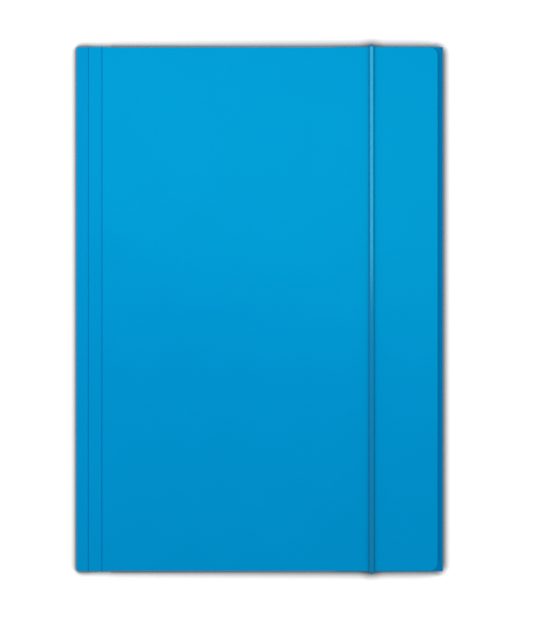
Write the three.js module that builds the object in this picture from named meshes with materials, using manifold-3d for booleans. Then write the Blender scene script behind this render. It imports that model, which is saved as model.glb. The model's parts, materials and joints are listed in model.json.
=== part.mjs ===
// A closed elastic folder: one sheet of card that is scored and folded into a back panel, a spine, a front
// cover and three inner flaps, and an elastic cord that holds the cover shut. Millimetres. The folder is drawn
// level on its back, with the spine towards -X, the fore edge towards +X and the front cover on top, and is
// then laid down as it rests on a table, on its spine and on the two lengths of elastic along its back.
import * as THREE from 'three';
import { mergeVertices } from 'three/addons/utils/BufferGeometryUtils.js';
import Module from 'manifold-3d';

// Card
const panelWidth = 224;
const panelLength = 320;
const cardThickness = 0.5;
const foldRadius = 0.85; // centre line of the card at each fold's tip

// Front cover
const coverSetback = 3.45; // free edge of the cover, back from the fore edge
const coverEndTrim = 0.4; // the cover is this much shorter than the spine at each end
const coverTrimTaper = 5; // the trim runs in over this length beside the spine
const coverCornerRadius = 5;

// Scored creases, counted from a fold's outer edge
const firstSpineCrease = 7.5;
const secondSpineCrease = 15.8;
const firstFlapCrease = 8;
const secondFlapCrease = 16;
const creaseWidth = 0.9;
const creaseDepth = 0.16;
const firstCreaseShare = 0.62; // part of a fold's rise that is done at its first crease

// Top and bottom flaps
const endFlapDepth = 82;
const endFlapSpineInset = 20; // the flap starts this far from the spine
const endFlapForeInset = 6; // and stops this far from the fore edge
const endFlapMitre = 13; // 45 degree cut where the flap passes under the side flap
const endFlapTaper = 9; // how much each side leans in on its way to the free edge
const endFlapCornerRadius = 14;
const slitWidth = 0.8; // relief cut at each end of these folds

// Side flap
const sideFlapDepth = 92;
const sideFlapChamferDepth = 26;
const sideFlapChamferRise = 9;
const sideFlapCornerRadius = 14;

// Elastic
const cordWidth = 3;
const cordThickness = 1.8;
const cordFromFore = 43.7; // centre of the cord, back from the fore edge
const cordInnerBend = 1; // round the edge of its hole
const cordSides = 8;
const holeFromEnd = 25; // hole in the back panel, in from the top or bottom edge

// Metal clip on each end of the elastic
const clipLength = 15;
const clipHeight = 2.1;
const clipSheet = 0.3;
const clipBend = 0.6;
const clipTipHeight = 1.1;
const clipTipLength = 3;

// Clearances
const seatGap = 0.3; // between pieces that touch
const layerGap = 0.4; // between leaves of card that lie on each other

// How far a fold's root runs in over the back panel it is part of, and a cutting shape past what it cuts
const rootOverlap = 12;
const beyond = 5;

const CARD_BLUE = 0x0094d0;
const ELASTIC_BLUE = 0x0a86c0;
const CLIP_STEEL = 0xb9bcbe;

const halfWidth = panelWidth / 2;
const halfLength = panelLength / 2;
const foldOuterRadius = foldRadius + cardThickness / 2;
const cordX = halfWidth - cordFromFore;
const holeY = halfLength - holeFromEnd;
const holeRadius = cordWidth / 2 + seatGap;
const clipWidth = cordThickness + 2 * seatGap + 2 * clipSheet;

// Heights, from the outer face of the back panel up; a leaf's level is that of its centre line
const backLevel = cardThickness / 2;
const clipBase = cardThickness + seatGap;
const clipTop = clipBase + clipHeight;
const endFlapLevel = clipTop + seatGap + cardThickness / 2;
const sideFlapLevel = endFlapLevel + cardThickness + layerGap;
const coverLevel = sideFlapLevel + cardThickness + layerGap;
const coverTop = coverLevel + cardThickness / 2;
const backBand = [-beyond, backLevel + foldRadius]; // takes in the back panel and the lower half of its folds

const wasm = await Module();
wasm.setup();

const leftOf = (direction) => new THREE.Vector2(-direction.y, direction.x);

const turned = (vector, angle) => vector.clone().rotateAround(new THREE.Vector2(), angle);

// Follows straight runs between corners [x, y, radius] and rounds each corner that has a radius. Each point has
// the path's left-hand normal there, and reach, by which an offset is lengthened at a sharp corner.
function tracePath(corners, { closed = false, stepAngle = Math.PI / 12 } = {}) {
  const points = corners.map(([x, y]) => new THREE.Vector2(x, y));
  const count = points.length;
  const path = [];
  points.forEach((corner, i) => {
    const before = closed ? points[(i + count - 1) % count] : points[i - 1];
    const after = closed ? points[(i + 1) % count] : points[i + 1];
    if (!before || !after) {
      const run = before ? corner.clone().sub(before) : after.clone().sub(corner);
      path.push({ point: corner, normal: leftOf(run.normalize()), reach: 1 });
      return;
    }
    const arriving = corner.clone().sub(before).normalize();
    const leaving = after.clone().sub(corner).normalize();
    const turn = Math.atan2(arriving.cross(leaving), arriving.dot(leaving));
    const radius = corners[i][2] ?? 0;
    if (radius === 0) {
      const normal = turned(leftOf(arriving), turn / 2);
      path.push({ point: corner, normal, reach: 1 / Math.cos(turn / 2) });
      return;
    }
    const side = Math.sign(turn);
    const trim = radius * Math.tan(Math.abs(turn) / 2);
    const arcStart = corner.clone().addScaledVector(arriving, -trim);
    const centre = arcStart.addScaledVector(leftOf(arriving), side * radius);
    const steps = Math.max(2, Math.ceil(Math.abs(turn) / stepAngle));
    for (let k = 0; k <= steps; k += 1) {
      const normal = turned(leftOf(arriving), (turn * k) / steps);
      path.push({ point: centre.clone().addScaledVector(normal, -side * radius), normal, reach: 1 });
    }
  });
  return path;
}

// The outline of a sheet of even thickness whose centre line follows the corners.
function sheetOutline(corners, thickness) {
  const path = tracePath(corners);
  const offset = ({ point, normal, reach }, way) =>
    point.clone().addScaledVector(normal, (way * reach * thickness) / 2);
  const leftFace = path.map((place) => offset(place, 1));
  const rightFace = path.map((place) => offset(place, -1));
  return [...leftFace, ...rightFace.reverse()];
}

// Three corners that press a crease into a sheet at one of its bends: a groove outside and a bead inside.
function crease(before, at, after, press) {
  const edgeTowards = (other) => {
    const away = new THREE.Vector2(other[0] - at[0], other[1] - at[1]).setLength(creaseWidth / 2);
    return [at[0] + away.x, at[1] + away.y];
  };
  return [edgeTowards(before), [at[0], at[1] + press], edgeTowards(after)];
}

function toSolid(geometry) {
  const bare = geometry.clone();
  bare.deleteAttribute('normal');
  bare.deleteAttribute('uv');
  // Faces that are meant to lie in one plane do so once their heights are rounded alike.
  const rounded = bare.attributes.position.array.map((value) => Math.round(value * 1e4) / 1e4);
  bare.setAttribute('position', new THREE.BufferAttribute(rounded, 3));
  const merged = mergeVertices(bare, 1e-4);
  const mesh = new wasm.Mesh({
    numProp: 3,
    vertProperties: new Float32Array(merged.attributes.position.array),
    triVerts: new Uint32Array(merged.index.array),
  });
  return new wasm.Manifold(mesh);
}

function toGeometry(solid) {
  const mesh = solid.getMesh();
  const geometry = new THREE.BufferGeometry();
  geometry.setAttribute('position', new THREE.BufferAttribute(new Float32Array(mesh.vertProperties), 3));
  geometry.setIndex(new THREE.BufferAttribute(new Uint32Array(mesh.triVerts), 1));
  geometry.computeVertexNormals();
  return geometry;
}

const extrude = (outline, depth) =>
  new THREE.ExtrudeGeometry(new THREE.Shape(outline), { depth, bevelEnabled: false });

// A section drawn as (x, z), swept along Y.
function sweptAlongY(section, fromY, toY) {
  return toSolid(extrude(section, toY - fromY).rotateX(Math.PI / 2).translate(0, toY, 0));
}

// A section drawn as (y, z), swept along X.
function sweptAlongX(section, fromX, toX) {
  const axes = [new THREE.Vector3(0, 1, 0), new THREE.Vector3(0, 0, 1), new THREE.Vector3(1, 0, 0)];
  const turn = new THREE.Matrix4().makeBasis(...axes);
  return toSolid(extrude(section, toX - fromX).applyMatrix4(turn).translate(fromX, 0, 0));
}

// A plan drawn as (x, y) corners, standing from below the folder to above it.
function planPrism(corners) {
  const plan = tracePath(corners, { closed: true }).map(({ point }) => point);
  return toSolid(extrude(plan, coverTop + 2 * beyond).translate(0, 0, -beyond));
}

// A block between two values along each axis, given in either order.
function block(...spans) {
  const sizes = spans.map(([from, to]) => Math.abs(to - from));
  const middles = spans.map(([from, to]) => (from + to) / 2);
  return toSolid(new THREE.BoxGeometry(...sizes).translate(...middles));
}

// Corners of a leaf's centre line as (distance in from the fold, height), from the top of the fold's tip on:
// it rises over two creases to its own level and then lies flat.
function risingLeaf(level, firstCrease, secondCrease, reach) {
  const tipTop = [cardThickness / 2, backLevel + 2 * foldRadius, foldRadius];
  const first = [firstCrease, tipTop[1] + (level - tipTop[1]) * firstCreaseShare];
  const second = [secondCrease, level];
  const end = [reach, level];
  return [
    tipTop,
    ...crease(tipTop, first, second, -creaseDepth),
    ...crease(first, second, end, -creaseDepth),
    end,
  ];
}

// The lower half of a fold, from its root in the back panel to the fold's tip.
const foldRoot = (root) => [
  [root, backLevel],
  [cardThickness / 2, backLevel, foldRadius],
];

// The back panel, the spine and the cover are one section, seen along the spine.
function coverAndBack() {
  const fromSpine = ([inward, height, radius]) => [inward - halfWidth, height, radius];
  const [backEnd, tip] = foldRoot(panelWidth - rootOverlap);
  const second = [secondSpineCrease, backLevel];
  const first = [firstSpineCrease, backLevel];
  const section = [
    backEnd,
    ...crease(backEnd, second, first, creaseDepth),
    ...crease(second, first, tip, creaseDepth),
    tip,
    ...risingLeaf(coverLevel, firstSpineCrease, secondSpineCrease, panelWidth - coverSetback),
  ];
  const leaf = sweptAlongY(sheetOutline(section.map(fromSpine), cardThickness), -halfLength, halfLength);

  const trimmed = halfLength - coverEndTrim;
  const trimStart = secondSpineCrease - halfWidth;
  const coverEdge = halfWidth - coverSetback;
  const coverPlan = planPrism([
    [-halfWidth - beyond, -halfLength],
    [trimStart, -halfLength],
    [trimStart + coverTrimTaper, -trimmed],
    [coverEdge, -trimmed, coverCornerRadius],
    [coverEdge, trimmed, coverCornerRadius],
    [trimStart + coverTrimTaper, trimmed],
    [trimStart, halfLength],
    [-halfWidth - beyond, halfLength],
  ]);
  const backPlan = block([-halfWidth - beyond, halfWidth], [-halfLength, halfLength], backBand);
  return leaf.intersect(coverPlan.add(backPlan));
}

// The side flap hangs on the fore edge and lies over the end flaps, under the cover.
function sideFlap() {
  const fromFore = ([inward, height, radius]) => [halfWidth - inward, height, radius];
  const section = [
    ...foldRoot(2 * rootOverlap),
    ...risingLeaf(sideFlapLevel, firstFlapCrease, secondFlapCrease, sideFlapDepth),
  ];
  const leaf = sweptAlongY(sheetOutline(section.map(fromFore), cardThickness), -halfLength, halfLength);

  const freeEdge = halfWidth - sideFlapDepth;
  const chamferX = freeEdge + sideFlapChamferDepth;
  const chamferY = halfLength - sideFlapChamferRise;
  const plan = planPrism([
    [freeEdge, -chamferY, sideFlapCornerRadius],
    [chamferX, -halfLength, sideFlapCornerRadius],
    [halfWidth + beyond, -halfLength],
    [halfWidth + beyond, halfLength],
    [chamferX, halfLength, sideFlapCornerRadius],
    [freeEdge, chamferY, sideFlapCornerRadius],
  ]);
  return leaf.intersect(plan);
}

const endFlapSpineSide = endFlapSpineInset - halfWidth;
const endFlapForeSide = halfWidth - endFlapForeInset;

// A top (end = 1) or bottom (end = -1) flap, which lies on the contents, under the side flap.
function endFlap(end) {
  const inFrom = (inward) => end * (halfLength - inward);
  const section = [
    ...foldRoot(rootOverlap),
    ...risingLeaf(endFlapLevel, firstFlapCrease, secondFlapCrease, endFlapDepth),
  ].map(([inward, height, radius]) => [inFrom(inward), height, radius]);
  const leaf = sweptAlongX(sheetOutline(section, cardThickness), endFlapSpineSide, endFlapForeSide);

  const mitreSide = endFlapForeSide - endFlapMitre;
  const plan = planPrism([
    [endFlapSpineSide, inFrom(-beyond)],
    [endFlapSpineSide, inFrom(foldOuterRadius)],
    [endFlapSpineSide + endFlapTaper, inFrom(endFlapDepth), endFlapCornerRadius],
    [mitreSide - endFlapTaper, inFrom(endFlapDepth), endFlapCornerRadius],
    [mitreSide, inFrom(foldOuterRadius + endFlapMitre)],
    [endFlapForeSide, inFrom(foldOuterRadius)],
    [endFlapForeSide, inFrom(-beyond)],
  ]);
  const root = block([endFlapSpineSide, endFlapForeSide], [inFrom(rootOverlap), inFrom(-beyond)], backBand);
  return leaf.intersect(plan.add(root));
}

// What the die cuts out of the back panel where an end fold takes its edge, with a slit at both ends of it.
function endFoldNotch(end) {
  const across = [endFlapSpineSide - slitWidth, endFlapForeSide + slitWidth];
  const along = [end * (halfLength - foldOuterRadius), end * (halfLength + beyond)];
  return block(across, along, backBand);
}

function cordHole(end) {
  const drill = new THREE.CylinderGeometry(holeRadius, holeRadius, 2 * cardThickness, 3 * cordSides);
  return toSolid(drill.rotateX(Math.PI / 2).translate(cordX, end * holeY, backLevel));
}

function folderCard() {
  let card = coverAndBack().add(sideFlap());
  for (const end of [1, -1]) {
    card = card.subtract(endFoldNotch(end)).add(endFlap(end)).subtract(cordHole(end));
  }
  return toGeometry(card);
}

// Corners of the cord's centre line as (y, z), from inside the upper clip, round both ends of the folder, to
// inside the lower clip. At each end it bears on the round of the fold and on the cover's top edge.
function cordCorners() {
  const offset = seatGap + cordThickness / 2;
  const under = -offset;
  const over = coverTop + offset;
  const foldWrap = foldOuterRadius + offset;
  const foldCentre = new THREE.Vector2(halfLength - foldOuterRadius, foldOuterRadius);
  const coverEdge = new THREE.Vector2(halfLength - coverEndTrim, coverTop);
  const between = coverEdge.clone().sub(foldCentre);
  const lean = between.angle() - Math.acos((foldWrap - offset) / between.length());
  const touch = turned(new THREE.Vector2(foldWrap, 0), lean).add(foldCentre);
  const yAt = (height) => touch.x - (height - touch.y) * Math.tan(lean);
  const upper = [
    [holeY, clipTop - clipSheet - seatGap],
    [holeY, under, cordInnerBend + cordThickness / 2],
    [yAt(under), under, foldWrap],
    [yAt(over), over, offset],
  ];
  const lower = upper.map(([y, z, radius]) => [-y, z, radius]).reverse();
  return [...upper, ...lower];
}

// The cord's centre line through the points of a traced path, one point a step.
class CordRoute extends THREE.Curve {
  constructor(path) {
    super();
    this.path = path;
    this.steps = path.length - 1;
  }

  getPoint(t) {
    const { point } = this.path[Math.round(t * this.steps)];
    return new THREE.Vector3(cordX, point.x, point.y);
  }

  getTangent(t) {
    const { normal } = this.path[Math.round(t * this.steps)];
    return new THREE.Vector3(0, normal.y, -normal.x);
  }

  getUtoTmapping(u) {
    return u;
  }
}

function elasticCord() {
  const route = new CordRoute(tracePath(cordCorners()));
  // The section's own x runs in the plane of the route, across the cord's thickness.
  const section = new THREE.Shape().absellipse(0, 0, cordThickness / 2, cordWidth / 2, 0, 2 * Math.PI);
  return new THREE.ExtrudeGeometry(section, {
    steps: route.steps,
    extrudePath: route,
    curveSegments: cordSides / 2,
  });
}

// A strip of sheet steel bent into a channel over the cord's end, with its roof sloping down at both ends.
function endClip(end) {
  const centreY = end * holeY;
  const wall = (clipWidth - clipSheet) / 2;
  const roof = clipTop - clipSheet / 2;
  const channel = [
    [centreY - wall, clipBase],
    [centreY - wall, roof, clipBend],
    [centreY + wall, roof, clipBend],
    [centreY + wall, clipBase],
  ];
  const half = clipLength / 2;
  const bar = sweptAlongX(sheetOutline(channel, clipSheet), cordX - half, cordX + half);
  const side = [
    [-half, clipBase],
    [half, clipBase],
    [half, clipBase + clipTipHeight],
    [half - clipTipLength, clipTop],
    [clipTipLength - half, clipTop],
    [-half, clipBase + clipTipHeight],
  ].map(([x, z]) => new THREE.Vector2(cordX + x, z));
  return toGeometry(bar.intersect(sweptAlongY(side, centreY - clipWidth, centreY + clipWidth)));
}

function piece(name, geometry, material) {
  const mesh = new THREE.Mesh(geometry, new THREE.MeshStandardMaterial(material));
  mesh.name = name;
  return mesh;
}

const leaning = new THREE.Group();
leaning.add(piece('folder_card', folderCard(), { color: CARD_BLUE, roughness: 0.55, metalness: 0 }));
leaning.add(piece('elastic_cord', elasticCord(), { color: ELASTIC_BLUE, roughness: 0.6, metalness: 0 }));
leaning.add(piece('upper_end_clip', endClip(1), { color: CLIP_STEEL, roughness: 0.35, metalness: 1 }));
leaning.add(piece('lower_end_clip', endClip(-1), { color: CLIP_STEEL, roughness: 0.35, metalness: 1 }));

// The elastic along the back lifts the fore edge a little, so the folder leans on its spine.
const cordDrop = seatGap + cordThickness;
const spineToCord = cordX + halfWidth - foldOuterRadius;
leaning.rotation.y = -Math.atan(cordDrop / spineToCord);

const folder = new THREE.Group();
folder.add(leaning);
const bounds = new THREE.Box3().setFromObject(folder, true);
const middle = bounds.getCenter(new THREE.Vector3());
leaning.position.set(-middle.x, -middle.y, -bounds.min.z);

export default folder;
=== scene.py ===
"""A closed elastic folder of blue lacquered card, seen straight from above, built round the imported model.

The card is drawn as one thin sheet in millimetres, level on its back, with the spine towards -X and the front
cover on top. It is then laid down with the lean of the frame's back panel.
"""

import json
import math

import bmesh
import bpy
import numpy as np
from mathutils import Matrix, Vector

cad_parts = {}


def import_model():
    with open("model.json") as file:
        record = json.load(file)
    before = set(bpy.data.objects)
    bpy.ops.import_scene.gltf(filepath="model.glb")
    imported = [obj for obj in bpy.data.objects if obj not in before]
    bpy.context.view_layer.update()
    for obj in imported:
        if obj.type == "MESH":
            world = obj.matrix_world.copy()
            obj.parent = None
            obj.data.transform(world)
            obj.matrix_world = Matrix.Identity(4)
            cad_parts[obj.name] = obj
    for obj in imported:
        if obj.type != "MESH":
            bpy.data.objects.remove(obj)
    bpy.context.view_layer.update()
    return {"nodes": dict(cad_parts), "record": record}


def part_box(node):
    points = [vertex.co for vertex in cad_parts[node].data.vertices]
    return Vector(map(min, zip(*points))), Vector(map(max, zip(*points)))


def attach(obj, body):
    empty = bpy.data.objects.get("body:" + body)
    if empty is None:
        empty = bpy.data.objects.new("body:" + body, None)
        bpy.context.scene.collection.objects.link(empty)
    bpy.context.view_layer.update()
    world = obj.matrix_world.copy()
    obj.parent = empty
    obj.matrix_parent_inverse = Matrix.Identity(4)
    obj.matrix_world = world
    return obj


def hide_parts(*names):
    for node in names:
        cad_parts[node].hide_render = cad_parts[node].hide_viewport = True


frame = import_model()

# Card, in millimetres
PANEL_WIDTH = 224.0
PANEL_LENGTH = 320.0
CARD = 0.5
FOLD_RADIUS = 0.85
COVER_SETBACK = 3.45
COVER_TRIM = 0.4
COVER_TRIM_TAPER = 5.0
COVER_CORNER = 5.0
SPINE_CREASES = (7.5, 15.8)
FLAP_CREASES = (8.0, 16.0)
FIRST_CREASE_SHARE = 0.62
CREASE_BEND = 1.5
CREASE_HALF_WIDTH = 0.55
CREASE_DEPTH = 0.2
CREASE_LIP = 0.025
CREASE_LIP_END = 2.4  # where the lip runs out, in half widths of the crease
FORE_STRIP_SHADE = 0.4  # painted shade on the fore edge's fold where the cover leaves it bare, in place of the cover's shadow
FORE_STRIP_REACH = 2.4
FORE_STRIP_FADE = 0.1
CORD_LINE_SHADE = 0.2  # painted shade on the cover along the elastic, in place of its contact shadow
CORD_LINE_REACH = 2.6
CORD_LINE_FADE = 0.25
EDGE_SOFTNESS = 0.07
LONG_WAVE_HEIGHT = 0.09
SHORT_WAVE_HEIGHT = 0.035
WAVE_HELD = 0.85  # the share of the waves that the elastic takes away along its line
WAVE_HELD_REACH = 15.0

# Flaps
END_FLAP_DEPTH = 82.0
END_FLAP_SPINE_INSET = 20.0
END_FLAP_FORE_INSET = 6.0
END_FLAP_MITRE = 13.0
END_FLAP_TAPER = 9.0
SLIT = 0.8
SIDE_FLAP_DEPTH = 92.0
SIDE_FLAP_CHAMFER = (26.0, 9.0)
FLAP_CORNER = 14.0

# Elastic
CORD_WIDTH = 3.0
CORD_THICKNESS = 1.8
CORD_FROM_FORE = 43.7
CORD_INNER_BEND = 1.0
HOLE_FROM_END = 25.0
CLIP_HEIGHT = 2.1
CLIP_SHEET = 0.3
BRAID_STRANDS = 8
BRAID_PITCH = 1.25
BRAID_DEPTH = 0.008
CORD_SIDES = 4 * BRAID_STRANDS
CORD_STEP = 0.25
CORD_TIP_START = 0.35  # how far into its rounding each tip starts, in thicknesses
CORD_SEATED = 0.27  # the soft inner side swells this far to touch the card
CORD_SHAVED = 0.012  # the outer side stays this far inside the cord's full size

# Clearances
SEAT_GAP = 0.3
LAYER_GAP = 0.4
BOX_MARGIN = 0.0000022  # metres

# Spacing of the sheet's rows and columns, and how far the close ones reach
COARSE = 6.0
FINE = 0.1
OUTLINE_STEP = 0.4
CREASE_REACH = 1.3
FOLD_STEP = 0.11
FOLD_REACH = 2.2
CORD_LINE_STEP = 0.2
ARC_STEPS = 12
CORNER_REACH = 1.3  # in radii of an end flap's corner
HOLE_STEP = 1.0
HOLE_BLOCK = 3.0
HOLE_BLOCK_MARGIN = 1.5
HOLE_RINGS = (0.5, 0.85, 1.0)  # how far each ring has gone from the block's rim to the hole
END_SHARES = (0.15, 0.3, 0.45, 0.6, 0.75, 0.88)

SPINE = -PANEL_WIDTH / 2
FORE = PANEL_WIDTH / 2
END = PANEL_LENGTH / 2
BACK_LEVEL = CARD / 2
TIP_TOP = BACK_LEVEL + 2 * FOLD_RADIUS
FOLD_OUTER = FOLD_RADIUS + CARD / 2
CLIP_TOP = CARD + SEAT_GAP + CLIP_HEIGHT
END_FLAP_LEVEL = CLIP_TOP + SEAT_GAP + CARD / 2
SIDE_FLAP_LEVEL = END_FLAP_LEVEL + CARD + LAYER_GAP
COVER_LEVEL = SIDE_FLAP_LEVEL + CARD + LAYER_GAP
COVER_TOP = COVER_LEVEL + CARD / 2
CORD_X = FORE - CORD_FROM_FORE
HOLE_Y = END - HOLE_FROM_END
HOLE_RADIUS = CORD_WIDTH / 2 + SEAT_GAP
CORE_ROWS = HOLE_Y + HOLE_BLOCK + HOLE_BLOCK_MARGIN

# Corners of the strip's section, from the cover's free edge to the side flap's
STRIP_CORNERS = (
    "cover2", "cover1", "spine_top", "spine", "back1", "back2", "fore", "fore_top", "side1", "side2",
)

# Photograph: size in pixels, and what of the object lies where in it
PHOTO_WIDTH = 548
PHOTO_HEIGHT = 637
PHOTO_LEFT = 76.2
PHOTO_RIGHT = 443.0
PHOTO_TOP = 47.3
PHOTO_BOTTOM = 571.0


class Path:
    """Straight runs between corners (a, b, radius) in a plane, with each corner rounded by its radius."""

    def __init__(self, corners):
        self.runs = []
        self.corners = []
        at = Vector(corners[0][:2])
        length = 0.0
        for i, corner in enumerate(corners[1:], start=1):
            point = Vector(corner[:2])
            heading = point - at
            angle = math.atan2(heading.y, heading.x)
            turn = 0.0
            if i < len(corners) - 1:
                onward = Vector(corners[i + 1][:2]) - point
                turn = math.atan2(heading.x * onward.y - heading.y * onward.x, heading.dot(onward))
            radius = corner[2] if len(corner) > 2 else 0.0
            trim = radius * math.tan(abs(turn) / 2)
            straight = heading.length - trim
            self.runs.append((length, at, angle, 0.0))
            length += straight
            at = at + heading.normalized() * straight
            arc = radius * abs(turn)
            self.corners.append(length + arc / 2)
            if arc > 0:
                self.runs.append((length, at, angle, turn / arc))
                length += arc
                centre = at + Vector((-math.sin(angle), math.cos(angle))) * (arc / turn)
                swing = Matrix.Rotation(turn, 2)
                at = centre + swing @ (at - centre)
        self.length = length

    def at(self, length):
        """The point at a length along the path, and the left-hand normal there."""
        runs = reversed(self.runs)
        start, origin, angle, bend = next(run for run in runs if run[0] <= length or run is self.runs[0])
        along = length - start
        now = angle + bend * along
        if bend:
            step = Vector((math.sin(now) - math.sin(angle), math.cos(angle) - math.cos(now))) / bend
        else:
            step = Vector((math.cos(angle), math.sin(angle))) * along
        return origin + step, Vector((-math.sin(now), math.cos(now)))


def stations(musts, step):
    """The given values in order, with evenly spaced ones between those that lie more than a step apart."""
    kept = []
    for value in sorted(musts):
        if not kept or value - kept[-1] > FINE / 4:
            kept.append(value)
    filled = [kept[0]]
    for low, high in zip(kept, kept[1:]):
        filled.extend(np.linspace(low, high, math.ceil((high - low) / step) + 1)[1:])
    return [float(value) for value in filled]


def around(middle, reach, step=FINE):
    return [float(value) for value in middle + np.arange(-reach, reach + step / 2, step)]


def arc_shares():
    """Shares from 0 to 1 that lie closer together near 0, for the columns across a rounded corner."""
    return [1 - math.cos(math.pi / 2 * k / ARC_STEPS) for k in range(ARC_STEPS + 1)]


def within(length, span):
    return span[0] - FINE / 2 < length < span[1] + FINE / 2


def cut_edge(corners):
    """An edge as x and y values to interpolate between, from where its first rounded corner starts."""
    path = Path(corners)
    start = next(run[0] for run in path.runs if run[3])
    lengths = stations([start, path.length], OUTLINE_STEP)
    points = [path.at(length)[0] for length in lengths]
    return np.array([point.x for point in points]), np.array([point.y for point in points])


def rising(level, fold, way, creases, reach):
    """Corners of a leaf from its fold's tip on: it rises over two creases and then lies flat."""
    first = TIP_TOP + (level - TIP_TOP) * FIRST_CREASE_SHARE
    return [
        (fold + way * CARD / 2, TIP_TOP, FOLD_RADIUS),
        (fold + way * creases[0], first, CREASE_BEND),
        (fold + way * creases[1], level, CREASE_BEND),
        (fold + way * reach, level),
    ]


def pressed(distance):
    """How far a crease presses the card in, as a share of its depth: a groove with a low lip each side."""
    u = abs(distance) / CREASE_HALF_WIDTH
    if u < 1:
        return 0.5 * (1 + math.cos(math.pi * u))
    if u < CREASE_LIP_END:
        return -CREASE_LIP / CREASE_DEPTH * math.sin(math.pi * (u - 1) / (CREASE_LIP_END - 1)) ** 2
    return 0.0


def shade_band(u, fade):
    """1 where u is near 0, and 0 from -1 and 1 on, over the last part of the way."""
    return min(1.0, max(0.0, (1 - abs(u)) / fade))


def natural_warp(x, y):
    """The card's slight waves, in millimetres. The elastic holds them down along its line. The factors of x
    and y are radians per millimetre."""
    long_wave = math.sin(0.021 * x + 0.6) * math.cos(0.017 * y - 0.4)
    short_wave = math.sin(0.043 * y + 0.029 * x + 1.3)
    free = 1 - WAVE_HELD * math.exp(-((x - CORD_X) / WAVE_HELD_REACH) ** 2)
    return free * (LONG_WAVE_HEIGHT * long_wave + SHORT_WAVE_HEIGHT * short_wave)


class Sheet:
    """Grids of points joined into one sheet, with how hard each point is pressed or folded and how much
    painted shade it takes.
    """

    def __init__(self):
        self.mesh = bmesh.new()
        self.press_and_shade = self.mesh.verts.layers.float.new("press_and_shade")
        self.fold = self.mesh.verts.layers.float.new("fold")

    def point(self, position, press_and_shade, fold):
        x, y, z = position
        lifted = z + natural_warp(x, y) * (z - BACK_LEVEL) / COVER_LEVEL
        vertex = self.mesh.verts.new((x, y, lifted))
        vertex[self.press_and_shade] = press_and_shade
        vertex[self.fold] = fold
        return vertex

    def face(self, *corners):
        self.mesh.faces.new(corners)


def section_points(path, lengths, creases, folds):
    """Each length's point along a section, pressed in at the creases, with its press value, which also sets
    the painted shade there, and its fold value.
    """
    places = []
    for length in lengths:
        point, inward = path.at(length)
        press_and_shade = sum(pressed(length - crease) for crease in creases)
        point = point + inward * CREASE_DEPTH * press_and_shade
        fold = max(0.0, 1.0 - min(abs(length - middle) for middle in folds) / (2 * FOLD_RADIUS))
        places.append((point, max(0.0, press_and_shade), fold))
    return places


def strip_path():
    """The section across the folder: cover, spine, back panel, fore fold and side flap."""
    cover = rising(COVER_LEVEL, SPINE, 1, SPINE_CREASES, PANEL_WIDTH - COVER_SETBACK)
    side_flap = rising(SIDE_FLAP_LEVEL, FORE, -1, FLAP_CREASES, SIDE_FLAP_DEPTH)
    back = [
        (SPINE + CARD / 2, BACK_LEVEL, FOLD_RADIUS),
        (SPINE + SPINE_CREASES[0], BACK_LEVEL),
        (SPINE + SPINE_CREASES[1], BACK_LEVEL),
        (FORE - CARD / 2, BACK_LEVEL, FOLD_RADIUS),
    ]
    return Path([*reversed(cover), *back, *side_flap])


def cover_edge():
    taper = PANEL_WIDTH - COVER_SETBACK - SPINE_CREASES[1]
    trimmed = END - COVER_TRIM
    return cut_edge([
        (0, 0),
        (0, trimmed, COVER_CORNER),
        (taper - COVER_TRIM_TAPER, trimmed),
        (taper, END),
        (PANEL_WIDTH, END),
    ])


def side_flap_edge():
    depth, rise = SIDE_FLAP_CHAMFER
    return cut_edge([(0, 0), (0, END - rise, FLAP_CORNER), (depth, END, FLAP_CORNER), (SIDE_FLAP_DEPTH, END)])


def row_places():
    """Rows of the strip as (fixed y, share of the way from there to the strip's edge)."""
    holes = [sign * (HOLE_Y + step) for sign in (-1, 1) for step in around(0, HOLE_BLOCK, HOLE_STEP)]
    core = stations([-CORE_ROWS, *holes, CORE_ROWS], COARSE)
    fold_share = (END - FOLD_OUTER - CORE_ROWS) / (END - CORE_ROWS)
    shares = [*END_SHARES, fold_share, 1.0]
    lower = [(-CORE_ROWS, share) for share in reversed(shares)]
    upper = [(CORE_ROWS, share) for share in shares]
    return [*lower, *[(y, 0.0) for y in core], *upper]


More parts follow.
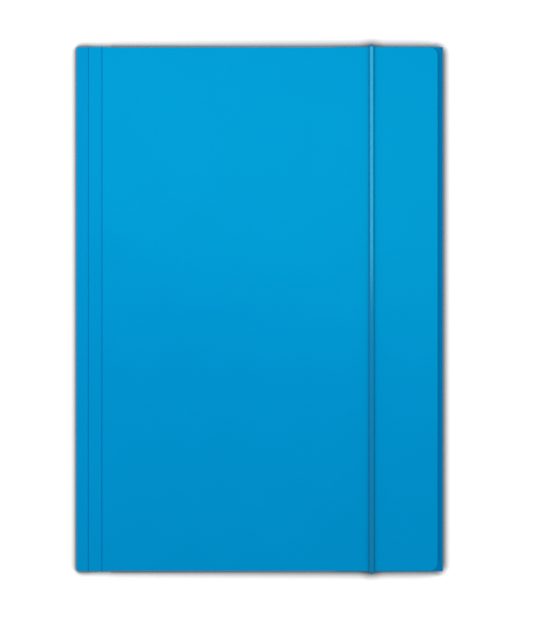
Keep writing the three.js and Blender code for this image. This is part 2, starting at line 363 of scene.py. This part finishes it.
def strip(sheet):
    """Cover, spine, back panel and side flap. Returns the back panel's end rows, from spine to fore edge."""
    path = strip_path()
    middle = dict(zip(STRIP_CORNERS, path.corners))
    creases = [middle[name] for name in ("cover2", "cover1", "back1", "back2", "side1", "side2")]
    folds = [(middle["spine_top"] + middle["spine"]) / 2, (middle["fore"] + middle["fore_top"]) / 2]
    back_start = middle["back1"] - (SPINE + SPINE_CREASES[0])
    fore_strip = folds[1] + FORE_STRIP_REACH
    flap_start = SPINE + END_FLAP_SPINE_INSET
    flap_end = FORE - END_FLAP_FORE_INSET
    notch = (back_start + flap_start - SLIT, back_start + flap_end + SLIT)
    flap = (back_start + flap_start, back_start + flap_end)
    hole = back_start + CORD_X
    # where the elastic lies on the cover, for the painted shade along it
    cord_line = CORD_FROM_FORE - COVER_SETBACK

    chamfer_reach = 2 * SIDE_FLAP_CHAMFER[0]
    musts = [0, path.length, *notch, *flap, *around(hole, HOLE_BLOCK, HOLE_STEP)]
    musts += [COVER_CORNER * share for share in arc_shares()]
    musts += [path.length - chamfer_reach * share for share in arc_shares()]
    for crease in creases:
        musts += around(crease, CREASE_REACH)
    for fold in folds:
        musts += around(fold, FOLD_REACH, FOLD_STEP)
    # columns for the painted shade along the elastic
    musts += around(cord_line, CORD_LINE_REACH, CORD_LINE_STEP)
    lengths = stations(musts, COARSE)

    cover_reach = cover_edge()
    flap_reach = side_flap_edge()
    rows = row_places()
    grid = []
    for length, (point, press_and_shade, fold) in zip(lengths, section_points(path, lengths, creases, folds)):
        if length < middle["spine"]:
            edge = float(np.interp(length, *cover_reach))
        else:
            edge = float(np.interp(path.length - length, *flap_reach))
        # painted shade: on the fore fold's strip below the cover's edge, and on the cover along the elastic
        press_and_shade = max(
            press_and_shade,
            FORE_STRIP_SHADE * shade_band((length - fore_strip) / FORE_STRIP_REACH, FORE_STRIP_FADE),
            CORD_LINE_SHADE * shade_band((length - cord_line) / CORD_LINE_REACH, CORD_LINE_FADE),
        )
        column = []
        for fixed, share in rows:
            y = fixed + math.copysign(edge - CORE_ROWS, fixed) * share
            column.append(sheet.point((point.x, y, point.y), press_and_shade, fold))
        grid.append(column)

    end_cells = (0, len(rows) - 2)
    reach = HOLE_BLOCK + FINE
    hole_columns = [i for i, length in enumerate(lengths) if abs(length - hole) <= reach]
    hole_rows = {}
    for side in (-1, 1):
        hole_rows[side] = [i for i, (y, share) in enumerate(rows) if abs(y - side * HOLE_Y) <= reach]
    for i in range(len(lengths) - 1):
        in_notch = within(lengths[i], notch) and within(lengths[i + 1], notch)
        in_hole = i in hole_columns[:-1]
        for j in range(len(rows) - 1):
            if in_notch and j in end_cells:
                continue
            if in_hole and (j in hole_rows[-1][:-1] or j in hole_rows[1][:-1]):
                continue
            sheet.face(grid[i][j], grid[i + 1][j], grid[i + 1][j + 1], grid[i][j + 1])
    for side in (-1, 1):
        block = [[grid[i][j] for j in hole_rows[side]] for i in hole_columns]
        punch_hole(sheet, block, side * HOLE_Y)

    attached = [i for i, length in enumerate(lengths) if within(length, flap)]
    return {-1: [grid[i][1] for i in attached], 1: [grid[i][-2] for i in attached]}


def punch_hole(sheet, block, y):
    """Fills a hole's block of missing cells with rings of faces, from its square rim to a circle."""
    last = len(block) - 1
    rim = [block[i][0] for i in range(last)] + [block[last][j] for j in range(last)]
    rim += [block[last - i][last] for i in range(last)] + [block[0][last - j] for j in range(last)]
    centre = Vector((CORD_X, y, BACK_LEVEL))
    outer = rim
    for share in HOLE_RINGS:
        inner = []
        for vertex in rim:
            out = vertex.co - centre
            circle = centre + out.normalized() * HOLE_RADIUS
            inner.append(sheet.point(vertex.co.lerp(circle, share), 0, 0))
        for k in range(len(rim)):
            after = (k + 1) % len(rim)
            sheet.face(outer[k], outer[after], inner[after], inner[k])
        outer = inner


def end_flap(sheet, end, root):
    """A top (end = 1) or bottom (end = -1) flap that hangs on a row of the back panel's points."""
    corners = [(FOLD_OUTER, BACK_LEVEL), (CARD / 2, BACK_LEVEL, FOLD_RADIUS)]
    corners += rising(END_FLAP_LEVEL, 0, 1, FLAP_CREASES, END_FLAP_DEPTH)
    path = Path(corners)
    fold = (path.corners[0] + path.corners[1]) / 2
    creases = [path.corners[2], path.corners[3]]

    spine_side = SPINE + END_FLAP_SPINE_INSET
    fore_side = FORE - END_FLAP_FORE_INSET
    mitre_side = fore_side - END_FLAP_MITRE
    mitre_end = FOLD_OUTER + END_FLAP_MITRE
    left = cut_edge([
        (END_FLAP_DEPTH, 0),
        (END_FLAP_DEPTH, spine_side + END_FLAP_TAPER, FLAP_CORNER),
        (FOLD_OUTER, spine_side),
    ])
    right = cut_edge([
        (END_FLAP_DEPTH, 0),
        (END_FLAP_DEPTH, mitre_side - END_FLAP_TAPER, FLAP_CORNER),
        (mitre_end, mitre_side),
        (FOLD_OUTER, fore_side),
    ])

    flat_start = path.corners[3] - FLAP_CREASES[1]
    musts = [0, *around(fold, fold, FOLD_STEP), flat_start + mitre_end, path.length]
    musts += [path.length - CORNER_REACH * FLAP_CORNER * share for share in arc_shares()]
    for crease in creases:
        musts += around(crease, CREASE_REACH)
    lengths = [length for length in stations(musts, COARSE) if length > FINE / 2]

    shares = [(vertex.co.x - spine_side) / (fore_side - spine_side) for vertex in root]
    before = root
    for point, press_and_shade, bend in section_points(path, lengths, creases, [fold]):
        low = float(np.interp(point.x, left[0][::-1], left[1][::-1]))
        high = float(np.interp(point.x, right[0][::-1], right[1][::-1]))
        y = end * (END - point.x)
        row = [sheet.point((low + (high - low) * share, y, point.y), press_and_shade, bend) for share in shares]
        for k in range(len(row) - 1):
            sheet.face(before[k], before[k + 1], row[k + 1], row[k])
        before = row


def placement():
    """From the level drawing in millimetres to the frame in metres. The lean is that of the back panel's
    mount. The round of the spine touches the card's box from below, and on its left but for a hair."""
    axis = frame["record"]["mounts"][0]["axis"]
    lean = math.atan2(axis[0], -axis[2])
    low = Vector(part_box("folder_card")[0])
    radius = FOLD_OUTER / 1000
    spine_axis = Vector((low.x + radius + BOX_MARGIN, 0, low.z + radius))
    turn = Matrix.Rotation(-lean, 4, "Y") @ Matrix.Scale(0.001, 4)
    level_axis = Vector((SPINE + FOLD_OUTER, 0, FOLD_OUTER))
    return Matrix.Translation(spine_axis - turn @ level_axis) @ turn


def add_object(name, mesh, materials):
    thing = bpy.data.objects.new(name, mesh)
    bpy.context.scene.collection.objects.link(thing)
    for material in materials:
        mesh.materials.append(material)
    return thing


def folder_card(place, face_material, edge_material):
    sheet = Sheet()
    roots = strip(sheet)
    for end in (-1, 1):
        end_flap(sheet, end, roots[end])
    loose = [vertex for vertex in sheet.mesh.verts if not vertex.link_faces]
    bmesh.ops.delete(sheet.mesh, geom=loose, context="VERTS")
    bmesh.ops.recalc_face_normals(sheet.mesh, faces=sheet.mesh.faces)
    sheet.mesh.transform(place)
    mesh = bpy.data.meshes.new("card_sheet")
    sheet.mesh.to_mesh(mesh)
    sheet.mesh.free()
    mesh.shade_smooth()

    card = add_object("card_sheet", mesh, [face_material, edge_material])
    solidify = card.modifiers.new("thickness", "SOLIDIFY")
    solidify.thickness = CARD / 1000
    solidify.offset = 0
    solidify.use_even_offset = True
    solidify.use_quality_normals = True
    solidify.material_offset_rim = 1
    bevel = card.modifiers.new("soft_cut_edge", "BEVEL")
    bevel.width = EDGE_SOFTNESS / 1000
    bevel.segments = 2
    bevel.limit_method = "ANGLE"
    bevel.angle_limit = math.radians(60)
    bevel.material = 1
    bevel.harden_normals = True
    return card


def cord_path():
    """The cord's centre line as (y, z), from inside the upper clip round the folder into the lower clip."""
    offset = SEAT_GAP + CORD_THICKNESS / 2
    under = -offset
    over = COVER_TOP + offset
    wrap = FOLD_OUTER + offset
    fold_centre = Vector((END - FOLD_OUTER, FOLD_OUTER))
    between = Vector((END - COVER_TRIM, COVER_TOP)) - fold_centre
    lean = math.atan2(between.y, between.x) - math.acos((wrap - offset) / between.length)
    touch = fold_centre + Vector((math.cos(lean), math.sin(lean))) * wrap

    def y_at(height):
        return touch.x - (height - touch.y) * math.tan(lean)

    upper = [
        (HOLE_Y, CLIP_TOP - CLIP_SHEET - SEAT_GAP),
        (HOLE_Y, under, CORD_INNER_BEND + CORD_THICKNESS / 2),
        (y_at(under), under, wrap),
        (y_at(over), over, offset),
    ]
    lower = [(-y, z, *rest) for y, z, *rest in reversed(upper)]
    return Path([*upper, *lower])


def elastic_cord(place, material):
    """A tube of oval section along the cord's path, with the braid's low relief and two rounded tips."""
    path = cord_path()
    mesh = bmesh.new()
    strand = mesh.verts.layers.float.new("strand")
    turn_shade = mesh.verts.layers.float.new("turn_shade")
    count = round(path.length / CORD_STEP)
    rings = []
    for i in range(count + 1):
        length = path.length * i / count
        centre, normal = path.at(length)
        from_tip = min(length, path.length - length) / CORD_THICKNESS
        taper = math.sqrt(1 - (1 - min(1.0, from_tip + CORD_TIP_START)) ** 2)
        along = math.cos(2 * math.pi * length / BRAID_PITCH)
        ring = []
        for k in range(CORD_SIDES):
            angle = 2 * math.pi * k / CORD_SIDES
            lattice = 0.5 * (math.cos(BRAID_STRANDS * angle) + along) - 1
            across = (CORD_WIDTH / 2 + BRAID_DEPTH * lattice) * taper * math.cos(angle)
            half = CORD_THICKNESS / 2 + (CORD_SEATED if math.sin(angle) > 0 else -CORD_SHAVED)
            up = (half + BRAID_DEPTH * lattice) * taper * math.sin(angle)
            vertex = mesh.verts.new((CORD_X + across, centre.x + normal.x * up, centre.y + normal.y * up))
            vertex[strand] = 1 + 0.5 * lattice
            # painted shade where the cord turns round the card's edge
            vertex[turn_shade] = abs(normal.x)
            ring.append(vertex)
        rings.append(ring)
    for before, after in zip(rings, rings[1:]):
        for k in range(CORD_SIDES):
            mesh.faces.new((before[k], before[k - 1], after[k - 1], after[k]))
    mesh.faces.new(rings[0])
    mesh.faces.new(reversed(rings[-1]))
    bmesh.ops.recalc_face_normals(mesh, faces=mesh.faces)
    mesh.transform(place)
    data = bpy.data.meshes.new("elastic_braid")
    mesh.to_mesh(data)
    mesh.free()
    data.shade_smooth()
    return add_object("elastic_braid", data, [material])


class Nodes:
    """Adds nodes to a material, one call each."""

    def __init__(self, name):
        self.material = bpy.data.materials.new(name)
        self.material.use_nodes = True
        self.tree = self.material.node_tree
        self.shader = self.tree.nodes["Principled BSDF"]

    def add(self, kind, links=None, **values):
        node = self.tree.nodes.new(kind)
        for key, value in values.items():
            setattr(node, key, value)
        for socket, source in (links or {}).items():
            self.feed(node.inputs[socket], source)
        return node

    def feed(self, socket, source):
        if isinstance(source, bpy.types.NodeSocket):
            self.tree.links.new(source, socket)
        else:
            socket.default_value = source

    def noise(self, vector, scale, detail=3.0, roughness=0.5):
        links = {"Vector": vector, "Scale": scale, "Detail": detail, "Roughness": roughness}
        return self.add("ShaderNodeTexNoise", links).outputs["Fac"]

    def spread(self, value, low, high):
        """A value of about 0.3 to 0.7 brought to low to high."""
        links = {"Value": value, "From Min": 0.3, "From Max": 0.7, "To Min": low, "To Max": high}
        return self.add("ShaderNodeMapRange", links).outputs["Result"]

    def math(self, operation, a, b):
        return self.add("ShaderNodeMath", {0: a, 1: b}, operation=operation).outputs[0]

    def attribute(self, name):
        return self.add("ShaderNodeAttribute", attribute_name=name).outputs["Fac"]

    def dimmed(self, colour, factor):
        """A colour multiplied by a factor that changes over the surface."""
        return self.add("ShaderNodeVectorMath", {0: colour, "Scale": factor}, operation="SCALE").outputs[0]

    def place(self, scale=(1, 1, 1)):
        coordinates = self.add("ShaderNodeTexCoord").outputs["Object"]
        return self.add("ShaderNodeMapping", {"Vector": coordinates, "Scale": scale}).outputs["Vector"]

    def bump(self, height, distance, strength, normal=None):
        links = {"Height": height, "Distance": distance, "Strength": strength}
        if normal:
            links["Normal"] = normal
        return self.add("ShaderNodeBump", links).outputs["Normal"]

    def finish(self, **inputs):
        for name, source in inputs.items():
            self.feed(self.shader.inputs[name.replace("_", " ")], source)
        return self.material


CARD_BLUE = (0.0, 0.242, 0.56)
CREASE_SHADE = (0.0, -0.18, -0.28)  # painted shade at full press: what it takes from the card's blue in the creases beside their real grooves, on the fore fold's bare strip and along the elastic
FOLD_LIGHTENING = 0.05
CARD_CORE = (0.006, 0.33, 0.62)
ELASTIC_BLUE = (0.0, 0.12, 0.275)
TURN_SHADE = 0.45
PLATING = (0.70, 0.71, 0.72)
CARD_SHEEN = (0.01, 0.9, 0.5, 1.0)
ELASTIC_SHEEN = (0.13, 0.82, 0.9, 1.0)


def card_material():
    """Through-dyed card under a thin satin lacquer, with fine fibres, faint clouds, lighter folds and painted
    shade at creases, fore strip and elastic.
    """
    nodes = Nodes("lacquered_card")
    place = nodes.place()
    fibre_place = nodes.place((1.0, 0.35, 1.0))
    clouds = nodes.noise(place, scale=28.0, detail=2.0)
    fibres = nodes.noise(fibre_place, scale=1500.0, detail=4.0, roughness=0.6)
    peel = nodes.noise(place, scale=420.0, detail=2.0)
    tone = nodes.math("MULTIPLY", nodes.spread(clouds, 0.988, 1.012), nodes.spread(fibres, 0.982, 1.018))
    # lighter near the fold tips
    fold_tone = nodes.math("ADD", 1.0, nodes.math("MULTIPLY", nodes.attribute("fold"), FOLD_LIGHTENING))
    tone = nodes.math("MULTIPLY", tone, fold_tone)
    # painted shade in the creases, on the fore fold's bare strip and along the elastic
    painted_shade = nodes.dimmed(CREASE_SHADE, nodes.attribute("press_and_shade"))
    blue = nodes.add("ShaderNodeVectorMath", {0: CARD_BLUE, 1: painted_shade}, operation="ADD").outputs[0]
    peel_relief = nodes.bump(peel, distance=0.00004, strength=0.06)
    relief = nodes.bump(fibres, distance=0.00003, strength=0.1, normal=peel_relief)
    return nodes.finish(
        Base_Color=nodes.dimmed(blue, tone),
        Roughness=nodes.spread(peel, 0.285, 0.315),
        Specular_IOR_Level=0.35,
        Specular_Tint=CARD_SHEEN,
        Normal=relief,
    )


def cut_edge_material():
    """The die-cut edge: the card's own fibres, paler and duller than its lacquered faces."""
    nodes = Nodes("cut_card_edge")
    fibres = nodes.noise(nodes.place((1.0, 1.0, 4.0)), scale=1800.0, detail=4.0, roughness=0.65)
    return nodes.finish(
        Base_Color=nodes.dimmed(CARD_CORE, nodes.spread(fibres, 0.86, 1.08)),
        Roughness=0.85,
        Specular_IOR_Level=0.15,
        Specular_Tint=CARD_SHEEN,
        Normal=nodes.bump(fibres, distance=0.00008, strength=0.6),
    )


def elastic_material():
    """Round-braided elastic: glossy yarn, with painted shade in the braid's valleys and where it turns round
    an edge.
    """
    nodes = Nodes("braided_elastic")
    threads = nodes.noise(nodes.place((3.0, 0.5, 3.0)), scale=2600.0, detail=2.0)
    # painted shade in the braid's valleys
    valley_shade = nodes.spread(nodes.attribute("strand"), 0.9, 1.04)
    tone = nodes.math("MULTIPLY", valley_shade, nodes.spread(threads, 0.96, 1.04))
    # painted shade where the cord turns round the card's edge
    turn = nodes.math("SUBTRACT", 1.0, nodes.math("MULTIPLY", nodes.attribute("turn_shade"), TURN_SHADE))
    tone = nodes.math("MULTIPLY", tone, turn)
    return nodes.finish(
        Base_Color=nodes.dimmed(ELASTIC_BLUE, tone),
        Roughness=nodes.spread(threads, 0.13, 0.18),
        Specular_IOR_Level=0.68,
        Specular_Tint=ELASTIC_SHEEN,
        Normal=nodes.bump(threads, distance=0.00002, strength=0.2),
    )


def clip_material():
    """Nickel-plated sheet steel with fine drawing marks along the strip."""
    nodes = Nodes("plated_steel")
    marks = nodes.noise(nodes.place((0.08, 1.0, 1.0)), scale=4000.0, detail=3.0)
    return nodes.finish(
        Base_Color=nodes.dimmed(PLATING, nodes.spread(marks, 0.93, 1.05)),
        Metallic=1.0,
        Roughness=nodes.spread(marks, 0.24, 0.36),
        Normal=nodes.bump(marks, distance=0.00002, strength=0.3),
    )


FLOOR_SIZE = 6.0
FLOOR_DROP = 0.0001
FLOOR_WHITE = (0.86, 0.86, 0.86, 1.0)
FLOOR_SHADED = (0.2, 0.2, 0.2, 1.0)
SHADOW_CONTACT = 0.5
NEAR_SHADOW = (0.0065, 0.96, 2.1)  # how far it looks, how open the floor is where it ends, its curve
FAR_SHADOW = (0.03, 0.8, 1.0)
SHADOW_SAMPLES = 24
FLOOR_LIFT = 0.88  # the glow that brings the floor to white where nothing shades it


def floor():
    """A white floor. The camera sees it as white, with the object's shadows: those of the lamps, and a soft
    one where the object stands in the way of the light from all round."""
    half = FLOOR_SIZE / 2
    mesh = bpy.data.meshes.new("floor")
    corners = [(-half, -half), (half, -half), (half, half), (-half, half)]
    mesh.from_pydata([(x, y, -FLOOR_DROP) for x, y in corners], [], [(0, 1, 2, 3)])

    nodes = Nodes("white_floor")
    rays = nodes.add("ShaderNodeLightPath")
    mirrored = nodes.math("MAXIMUM", rays.outputs["Is Glossy Ray"], rays.outputs["Is Transmission Ray"])
    seen = nodes.math("MAXIMUM", rays.outputs["Is Camera Ray"], mirrored)
    parts = []
    for reach, widest, curve in (NEAR_SHADOW, FAR_SHADOW):
        occlusion = nodes.add("ShaderNodeAmbientOcclusion", {"Distance": reach}, samples=SHADOW_SAMPLES)
        limits = {"Value": occlusion.outputs["AO"], "From Min": SHADOW_CONTACT, "From Max": widest}
        parts.append(nodes.math("POWER", nodes.add("ShaderNodeMapRange", limits).outputs["Result"], curve))
    light = nodes.math("MINIMUM", *parts)
    glow = nodes.add("ShaderNodeEmission", {"Strength": nodes.math("MULTIPLY", light, FLOOR_LIFT)})
    shaded = nodes.add("ShaderNodeBsdfDiffuse", {"Color": FLOOR_SHADED})
    visible = nodes.add("ShaderNodeAddShader", {0: shaded.outputs[0], 1: glow.outputs[0]})
    plain = nodes.add("ShaderNodeBsdfDiffuse", {"Color": FLOOR_WHITE})
    either = nodes.add("ShaderNodeMixShader", {0: seen, 1: plain.outputs[0], 2: visible.outputs[0]})
    nodes.tree.links.new(either.outputs[0], nodes.tree.nodes["Material Output"].inputs["Surface"])
    nodes.tree.nodes.remove(nodes.shader)
    ground = add_object("floor", mesh, [nodes.material])
    return ground


AMBIENT = 0.76


def world():
    """Even soft light from all round, and white where the camera or a reflection sees past the floor."""
    surroundings = bpy.data.worlds.new("studio")
    bpy.context.scene.world = surroundings
    surroundings.use_nodes = True
    tree = surroundings.node_tree
    seen = tree.nodes.new("ShaderNodeLightPath")
    mirrored = tree.nodes.new("ShaderNodeMath")
    mirrored.operation = "MAXIMUM"
    tree.links.new(seen.outputs["Is Glossy Ray"], mirrored.inputs[0])
    tree.links.new(seen.outputs["Is Transmission Ray"], mirrored.inputs[1])
    total = tree.nodes.new("ShaderNodeMath")
    total.operation = "MAXIMUM"
    tree.links.new(seen.outputs["Is Camera Ray"], total.inputs[0])
    tree.links.new(mirrored.outputs[0], total.inputs[1])
    strength = tree.nodes.new("ShaderNodeMapRange")
    strength.inputs["To Min"].default_value = AMBIENT
    tree.links.new(total.outputs[0], strength.inputs["Value"])
    background = tree.nodes["Background"]
    background.inputs["Color"].default_value = (1.0, 1.0, 1.0, 1.0)
    tree.links.new(strength.outputs["Result"], background.inputs["Strength"])


LAMP_HEIGHT = 0.45


def softbox(name, centre, turn, width, length, watts, lit):
    """A soft light that shines straight down on some objects and that the camera doesn't see."""
    data = bpy.data.lights.new(name, "AREA")
    data.shape = "RECTANGLE"
    data.size = width
    data.size_y = length
    data.energy = watts
    lamp = bpy.data.objects.new(name, data)
    lamp.location = (*centre, LAMP_HEIGHT)
    lamp.rotation_euler.z = math.radians(turn)
    lamp.visible_camera = False
    receivers = bpy.data.collections.new(name)
    for thing in lit:
        receivers.objects.link(thing)
    lamp.light_linking.receiver_collection = receivers
    bpy.context.scene.collection.objects.link(lamp)


def lights(card, cord, ground, clips):
    """One lamp lights all but the elastic, one the card from its spine's side, and one the elastic."""
    key_lit = [card, ground, *clips]
    softbox("key", (-0.04, 0.137), turn=-12.0, width=0.52, length=0.235, watts=0.94, lit=key_lit)
    softbox("spine_light", (-0.54, 0.14), turn=0.0, width=0.48, length=0.235, watts=0.36, lit=[card])
    softbox("elastic_light", (CORD_X / 1000, 0.18), turn=0.0, width=0.8, length=0.316, watts=3.4, lit=[cord])


LENS = 200.0
SENSOR = 36.0


def camera():
    """Straight above the folder, with its outline where the photograph has it."""
    scale = ((PHOTO_RIGHT - PHOTO_LEFT) / PANEL_WIDTH + (PHOTO_BOTTOM - PHOTO_TOP) / PANEL_LENGTH) / 2
    off_right = (PHOTO_WIDTH - PHOTO_LEFT - PHOTO_RIGHT) / 2 / scale
    off_down = (PHOTO_HEIGHT - PHOTO_TOP - PHOTO_BOTTOM) / 2 / scale
    data = bpy.data.cameras.new("camera")
    data.sensor_fit = "VERTICAL"
    data.sensor_height = SENSOR
    data.lens = LENS
    distance = PHOTO_HEIGHT / scale / 1000 * LENS / SENSOR
    view = bpy.data.objects.new("camera", data)
    outline_height = FOLD_OUTER + (COVER_LEVEL - FOLD_OUTER) / 2
    view.location = (off_right / 1000, -off_down / 1000, distance + outline_height / 1000)
    bpy.context.scene.collection.objects.link(view)
    bpy.context.scene.camera = view


CLIPS = ("upper_end_clip", "lower_end_clip")


def main():
    camera()
    place = placement()

    card = folder_card(place, card_material(), cut_edge_material())
    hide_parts("folder_card")
    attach(card, "root")

    cord = elastic_cord(place, elastic_material())
    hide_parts("elastic_cord")
    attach(cord, "root")

    steel = clip_material()
    clips = [frame["nodes"][name] for name in CLIPS]
    for clip in clips:
        for slot in clip.material_slots:
            slot.material = steel

    ground = floor()
    world()
    lights(card, cord, ground, clips)
    bpy.context.scene.view_settings.view_transform = "Standard"


main()
